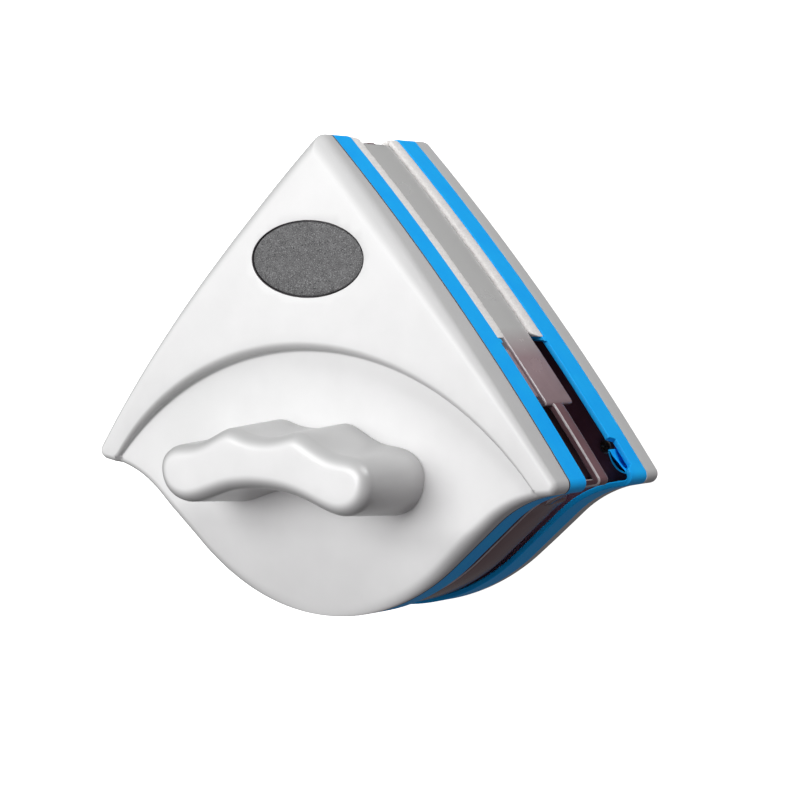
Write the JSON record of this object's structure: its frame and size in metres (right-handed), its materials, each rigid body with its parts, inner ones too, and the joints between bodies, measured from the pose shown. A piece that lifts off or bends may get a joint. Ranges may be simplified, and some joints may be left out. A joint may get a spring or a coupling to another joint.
{
  "type": "magnetic window glass cleaner",
  "caption": "Triangular double-sided magnetic window cleaner: grip unit, smoky spacer and outer unit with fleece edge pads.",
  "frame": {"origin": "middle of the footprint, on the plane the rear unit's outer face rests on", "axes": "+Z out of the glass towards the grip, +Y towards the apex, +X to the right seen from the grip side"},
  "size_m": [0.2431, 0.201, 0.1123],
  "materials": {
    "white_shell": "satin moulded ABS",
    "white_grip": "satin moulded ABS",
    "blue_frame": "satin moulded ABS",
    "fleece": "short cream pile",
    "blade_rubber": "matte",
    "speckled_oval": "matte, fine speckle",
    "smoky_clear": "smoky translucent plastic",
    "dark_plastic": "matte",
    "magnet": "nickel plated",
    "yoke_steel": "zinc plated",
    "steel": "bright"
  },
  "bodies": {
    "rear_unit": {"rear_cover": "white_shell", "cord_pin": "steel", "rear_frame": "blue_frame", "rear_base": "dark_plastic", "rear_pad_left": "fleece", "rear_pad_right": "fleece", "rear_blade_left": "blade_rubber", "rear_blade_right": "blade_rubber", "rear_blade_low": "blade_rubber", "rear_screws": "steel", "rear_magnet_tray": "dark_plastic", "rear_tray_screws": "steel", "rear_magnets": "magnet", "rear_yokes": "yoke_steel"},
    "spacer": {"spacer_plate": "smoky_clear", "spacer_block_left": "smoky_clear", "spacer_block_right": "smoky_clear", "spacer_block_low": "smoky_clear"},
    "front_unit": {"front_cover": "white_shell", "front_frame": "blue_frame", "front_base": "dark_plastic", "oval_pad": "speckled_oval", "front_pad_left": "fleece", "front_pad_right": "fleece", "front_blade_left": "blade_rubber", "front_blade_right": "blade_rubber", "front_blade_low": "blade_rubber", "front_screws": "steel", "guide_posts": "steel", "detent_ball": "steel", "detent_spring": "steel"},
    "grip": {"grip": "white_grip", "grip_shaft": "steel", "retaining_clip": "steel", "cam_pins": "steel", "grip_screw": "steel"},
    "carriage": {"magnet_carriage": "dark_plastic", "front_magnets": "magnet", "front_yokes": "yoke_steel"}
  },
  "joints": [
    {"name": "spacer_lift", "type": "slide", "parent": "rear_unit", "child": "spacer", "axis": [0, 0, 1], "range_m": [0, 0.06]},
    {"name": "front_lift", "type": "slide", "parent": "spacer", "child": "front_unit", "axis": [0, 0, 1], "range_m": [0, 0.06]},
    {"name": "grip_turn", "type": "hinge", "parent": "front_unit", "child": "grip", "pos_m": [0, -0.03657, 0.0683], "axis": [0, 0, 1], "range_deg": [0, 32]},
    {"name": "carriage_lift", "type": "slide", "parent": "front_unit", "child": "carriage", "axis": [0, 0, 1], "range_m": [0, 0.005]}
  ],
  "couplings": [
    {"joint": "carriage_lift", "follows": "grip_turn", "m_per_rad": 0.00895}
  ]
}
